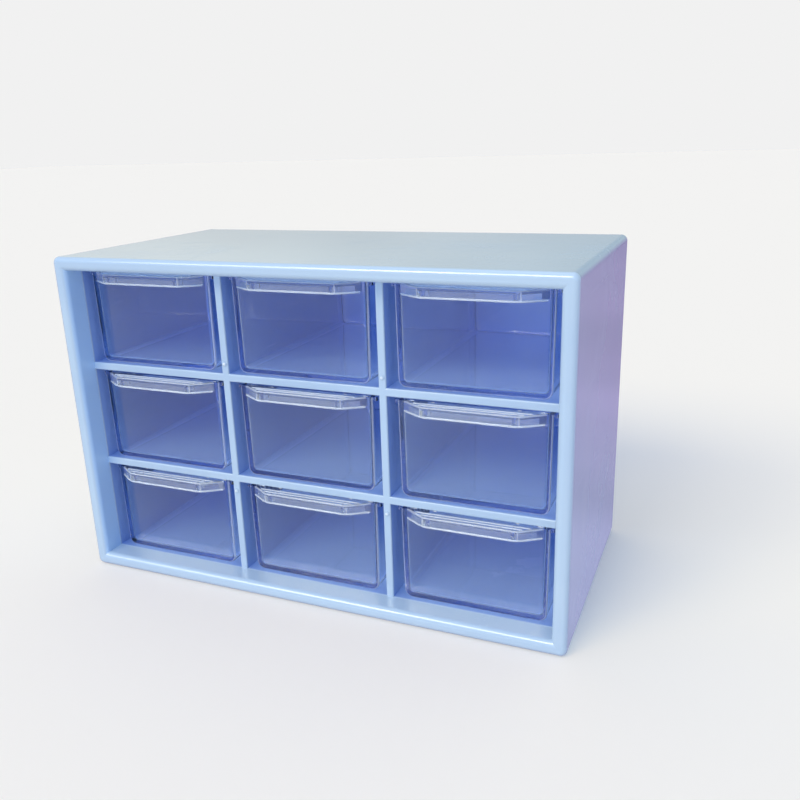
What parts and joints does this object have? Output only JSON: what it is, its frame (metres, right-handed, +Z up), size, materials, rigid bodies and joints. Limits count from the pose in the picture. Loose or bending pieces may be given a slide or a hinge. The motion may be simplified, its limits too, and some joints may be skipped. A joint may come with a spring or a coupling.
{
  "type": "parts organizer",
  "caption": "Desk-top small-parts organizer: a blue plastic case with a round-edged front rim and a grid of cells, each holding a clear pull-out drawer with a tapered ledge handle.",
  "frame": {"origin": "under the middle of the case, on the surface it stands on", "axes": "+X along the case's width, to the right as seen from the front; +Y from the front to the back, so the drawers pull out along -Y; +Z up"},
  "size_m": [0.18, 0.092, 0.117],
  "materials": {
    "case_plastic": "gloss",
    "clear_plastic": "gloss"
  },
  "bodies": {
    "case": {"outer_shell": "case_plastic", "cell_grid": "case_plastic"},
    "drawer_bottom_left": {"drawer_bottom_left": "clear_plastic"},
    "drawer_bottom_centre": {"drawer_bottom_centre": "clear_plastic"},
    "drawer_bottom_right": {"drawer_bottom_right": "clear_plastic"},
    "drawer_middle_left": {"drawer_middle_left": "clear_plastic"},
    "drawer_middle_centre": {"drawer_middle_centre": "clear_plastic"},
    "drawer_middle_right": {"drawer_middle_right": "clear_plastic"},
    "drawer_top_left": {"drawer_top_left": "clear_plastic"},
    "drawer_top_centre": {"drawer_top_centre": "clear_plastic"},
    "drawer_top_right": {"drawer_top_right": "clear_plastic"}
  },
  "joints": [
    {"name": "bottom_left_slide", "type": "slide", "parent": "case", "child": "drawer_bottom_left", "axis": [0, -1, 0], "range_m": [0, 0.06]},
    {"name": "bottom_centre_slide", "type": "slide", "parent": "case", "child": "drawer_bottom_centre", "axis": [0, -1, 0], "range_m": [0, 0.06]},
    {"name": "bottom_right_slide", "type": "slide", "parent": "case", "child": "drawer_bottom_right", "axis": [0, -1, 0], "range_m": [0, 0.06]},
    {"name": "middle_left_slide", "type": "slide", "parent": "case", "child": "drawer_middle_left", "axis": [0, -1, 0], "range_m": [0, 0.06]},
    {"name": "middle_centre_slide", "type": "slide", "parent": "case", "child": "drawer_middle_centre", "axis": [0, -1, 0], "range_m": [0, 0.06]},
    {"name": "middle_right_slide", "type": "slide", "parent": "case", "child": "drawer_middle_right", "axis": [0, -1, 0], "range_m": [0, 0.06]},
    {"name": "top_left_slide", "type": "slide", "parent": "case", "child": "drawer_top_left", "axis": [0, -1, 0], "range_m": [0, 0.06]},
    {"name": "top_centre_slide", "type": "slide", "parent": "case", "child": "drawer_top_centre", "axis": [0, -1, 0], "range_m": [0, 0.06]},
    {"name": "top_right_slide", "type": "slide", "parent": "case", "child": "drawer_top_right", "axis": [0, -1, 0], "range_m": [0, 0.06]}
  ]
}
